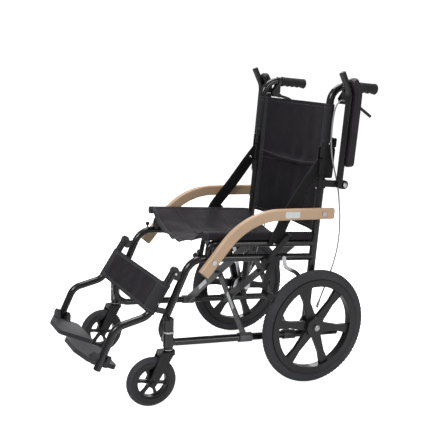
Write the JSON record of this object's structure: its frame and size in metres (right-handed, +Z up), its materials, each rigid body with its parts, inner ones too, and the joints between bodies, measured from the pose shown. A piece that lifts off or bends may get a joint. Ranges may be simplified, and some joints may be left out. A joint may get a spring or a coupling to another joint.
{
  "type": "folding manual wheelchair",
  "caption": "Attendant-pushed folding wheelchair with side frames, cross brace, sling seat and back, flip-up arms, footplates, drum brakes and swivel casters.",
  "frame": {"origin": "on the floor, in the middle of the chair's outer box", "axes": "+X to the sitter's left, -Y is the way the chair faces, +Z up"},
  "size_m": [0.568, 0.9336, 0.9493],
  "materials": {
    "frame_black": "gloss powder coat",
    "brace_grey": "satin grey paint",
    "arc_beige": "beige wood-look coating",
    "steel": "zinc plated",
    "plastic_black": "moulded",
    "plastic_grey": "moulded, grained",
    "tyre": "solid grey-black rubber",
    "grip": "soft rubber",
    "fabric": "woven nylon",
    "webbing": "belt webbing",
    "pad_vinyl": "armrest vinyl"
  },
  "bodies": {
    "frame_right": {"frame_loop_right": "frame_black", "back_post_right": "frame_black", "seat_support_right": "frame_black", "side_arc_right": "arc_beige", "side_bolts_right": "steel", "hub_brake_right": "steel", "wheel_lock_right": "plastic_black", "back_hinge_right": "plastic_black", "armrest_bracket_right": "plastic_black", "legrest_tube_right": "frame_black", "brake_cable_right": "plastic_grey", "belt_right": "webbing", "backrest_lower": "fabric", "calf_pad": "fabric"},
    "brace_a": {"brace_a": "brace_grey", "seat_rail_left": "frame_black", "seat_sling": "fabric"},
    "brace_b": {"brace_b": "brace_grey", "seat_rail_right": "frame_black"},
    "frame_left": {"frame_loop_left": "frame_black", "back_post_left": "frame_black", "seat_support_left": "frame_black", "side_arc_left": "arc_beige", "side_bolts_left": "steel", "hub_brake_left": "steel", "wheel_lock_left": "plastic_black", "back_hinge_left": "plastic_black", "armrest_bracket_left": "plastic_black", "legrest_tube_left": "frame_black", "brake_cable_left": "plastic_grey", "belt_left": "webbing"},
    "back_upper_left": {"handle_tube_left": "frame_black", "hand_grip_left": "grip"},
    "brake_lever_left": {"brake_lever_left": "plastic_black"},
    "back_release_left": {"back_release_left": "plastic_black"},
    "armrest_left": {"armrest_tube_left": "frame_black", "armrest_pad_left": "pad_vinyl"},
    "rear_wheel_left": {"rear_wheel_left": "plastic_black", "rear_tyre_left": "tyre"},
    "caster_fork_left": {"caster_fork_left": "plastic_black"},
    "caster_wheel_left": {"caster_wheel_left": "plastic_black", "caster_tyre_left": "tyre"},
    "footplate_left": {"footplate_left": "plastic_grey"},
    "lock_lever_left": {"lock_lever_left": "plastic_black"},
    "lock_shoe_left": {"lock_shoe_left": "plastic_black"},
    "back_upper_right": {"handle_tube_right": "frame_black", "hand_grip_right": "grip", "backrest_upper": "fabric"},
    "brake_lever_right": {"brake_lever_right": "plastic_black"},
    "back_release_right": {"back_release_right": "plastic_black"},
    "armrest_right": {"armrest_tube_right": "frame_black", "armrest_pad_right": "pad_vinyl"},
    "rear_wheel_right": {"rear_wheel_right": "plastic_black", "rear_tyre_right": "tyre"},
    "caster_fork_right": {"caster_fork_right": "plastic_black"},
    "caster_wheel_right": {"caster_wheel_right": "plastic_black", "caster_tyre_right": "tyre"},
    "footplate_right": {"footplate_right": "plastic_grey"},
    "lock_lever_right": {"lock_lever_right": "plastic_black"},
    "lock_shoe_right": {"lock_shoe_right": "plastic_black"}
  },
  "joints": [
    {"name": "fold", "type": "hinge", "parent": "frame_right", "child": "brace_a", "pos_m": [-0.202, 0.11572, 0.15015], "axis": [0, -0.9976, 0.0698], "range_deg": [0, 33.42], "deforming": ["seat_sling", "backrest_lower", "backrest_upper", "calf_pad", "belt_left", "belt_right"]},
    {"name": "cross_fold", "type": "hinge", "parent": "brace_a", "child": "brace_b", "pos_m": [0, 0.12618, 0.29978], "axis": [0, -0.9976, 0.0698], "range_deg": [-66.84, 0]},
    {"name": "left_frame_fold", "type": "hinge", "parent": "brace_b", "child": "frame_left", "pos_m": [0.202, 0.11572, 0.15015], "axis": [0, -0.9976, 0.0698], "range_deg": [0, 33.43]},
    {"name": "back_fold_right", "type": "hinge", "parent": "frame_right", "child": "back_upper_right", "pos_m": [-0.202, 0.31074, 0.68836], "axis": [1, 0, 0], "range_deg": [-90, 0], "deforming": ["brake_cable_left", "brake_cable_right"]},
    {"name": "brake_squeeze_right", "type": "hinge", "parent": "back_upper_right", "child": "brake_lever_right", "pos_m": [-0.202, 0.348, 0.86], "axis": [1, 0, 0], "range_deg": [0, 16], "stiffness_Nm_per_rad": 0.8, "springref_deg": -17.19},
    {"name": "release_pull_right", "type": "hinge", "parent": "back_upper_right", "child": "back_release_right", "pos_m": [-0.202, 0.31369, 0.71622], "axis": [1, 0, 0], "range_deg": [-18, 0], "stiffness_Nm_per_rad": 0.3, "springref_deg": 22.92},
    {"name": "armrest_flip_right", "type": "hinge", "parent": "frame_right", "child": "armrest_right", "pos_m": [-0.261, 0.32384, 0.61777], "axis": [1, 0, 0], "range_deg": [0, 94]},
    {"name": "wheel_spin_right", "type": "hinge", "parent": "frame_right", "child": "rear_wheel_right", "pos_m": [-0.249, 0.255, 0.178], "axis": [1, 0, 0], "continuous": true},
    {"name": "caster_swivel_right", "type": "hinge", "parent": "frame_right", "child": "caster_fork_right", "pos_m": [-0.229, -0.219, 0.2], "axis": [0, 0, 1], "continuous": true},
    {"name": "caster_spin_right", "type": "hinge", "parent": "caster_fork_right", "child": "caster_wheel_right", "pos_m": [-0.22558, -0.26788, 0.073], "axis": [0.9976, 0.0698, 0], "continuous": true},
    {"name": "footplate_flip_right", "type": "hinge", "parent": "frame_right", "child": "footplate_right", "pos_m": [-0.205, -0.40606, 0.15675], "axis": [0, -0.9098, 0.415], "range_deg": [0, 90.01]},
    {"name": "lock_push_right", "type": "hinge", "parent": "frame_right", "child": "lock_lever_right", "pos_m": [-0.228, 0.102, 0.402], "axis": [1, 0, 0], "range_deg": [0, 58]},
    {"name": "lock_shoe_right", "type": "hinge", "parent": "frame_right", "child": "lock_shoe_right", "pos_m": [-0.224, 0.105, 0.376], "axis": [1, 0, 0], "range_deg": [0, 8.2]},
    {"name": "back_fold_left", "type": "hinge", "parent": "frame_left", "child": "back_upper_left", "pos_m": [0.202, 0.31074, 0.68836], "axis": [1, 0, 0], "range_deg": [-90.01, 0]},
    {"name": "brake_squeeze_left", "type": "hinge", "parent": "back_upper_left", "child": "brake_lever_left", "pos_m": [0.202, 0.348, 0.86], "axis": [1, 0, 0], "range_deg": [0, 16], "stiffness_Nm_per_rad": 0.8, "springref_deg": -17.19},
    {"name": "release_pull_left", "type": "hinge", "parent": "back_upper_left", "child": "back_release_left", "pos_m": [0.202, 0.31369, 0.71622], "axis": [1, 0, 0], "range_deg": [-18, 0], "stiffness_Nm_per_rad": 0.3, "springref_deg": 22.92},
    {"name": "armrest_flip_left", "type": "hinge", "parent": "frame_left", "child": "armrest_left", "pos_m": [0.261, 0.32384, 0.61777], "axis": [1, 0, 0], "range_deg": [0, 94]},
    {"name": "wheel_spin_left", "type": "hinge", "parent": "frame_left", "child": "rear_wheel_left", "pos_m": [0.249, 0.255, 0.178], "axis": [1, 0, 0], "continuous": true},
    {"name": "caster_swivel_left", "type": "hinge", "parent": "frame_left", "child": "caster_fork_left", "pos_m": [0.229, -0.219, 0.2], "axis": [0, 0, 1], "continuous": true},
    {"name": "caster_spin_left", "type": "hinge", "parent": "caster_fork_left", "child": "caster_wheel_left", "pos_m": [0.22558, -0.26788, 0.073], "axis": [0.9976, -0.0698, 0], "continuous": true},
    {"name": "footplate_flip_left", "type": "hinge", "parent": "frame_left", "child": "footplate_left", "pos_m": [0.205, -0.40606, 0.15675], "axis": [0, 0.9098, -0.415], "range_deg": [0, 90.01]},
    {"name": "lock_push_left", "type": "hinge", "parent": "frame_left", "child": "lock_lever_left", "pos_m": [0.228, 0.102, 0.402], "axis": [1, 0, 0], "range_deg": [0, 58]},
    {"name": "lock_shoe_left", "type": "hinge", "parent": "frame_left", "child": "lock_shoe_left", "pos_m": [0.224, 0.105, 0.376], "axis": [1, 0, 0], "range_deg": [0, 8.2]}
  ],
  "couplings": [
    {"joint": "cross_fold", "follows": "fold", "ratio": -2},
    {"joint": "left_frame_fold", "follows": "fold", "ratio": 1},
    {"joint": "footplate_flip_right", "follows": "fold", "ratio": 2.6933},
    {"joint": "lock_shoe_right", "follows": "lock_push_right", "ratio": 0.14},
    {"joint": "back_fold_left", "follows": "back_fold_right", "ratio": 1},
    {"joint": "footplate_flip_left", "follows": "fold", "ratio": 2.6933},
    {"joint": "lock_shoe_left", "follows": "lock_push_left", "ratio": 0.14}
  ]
}
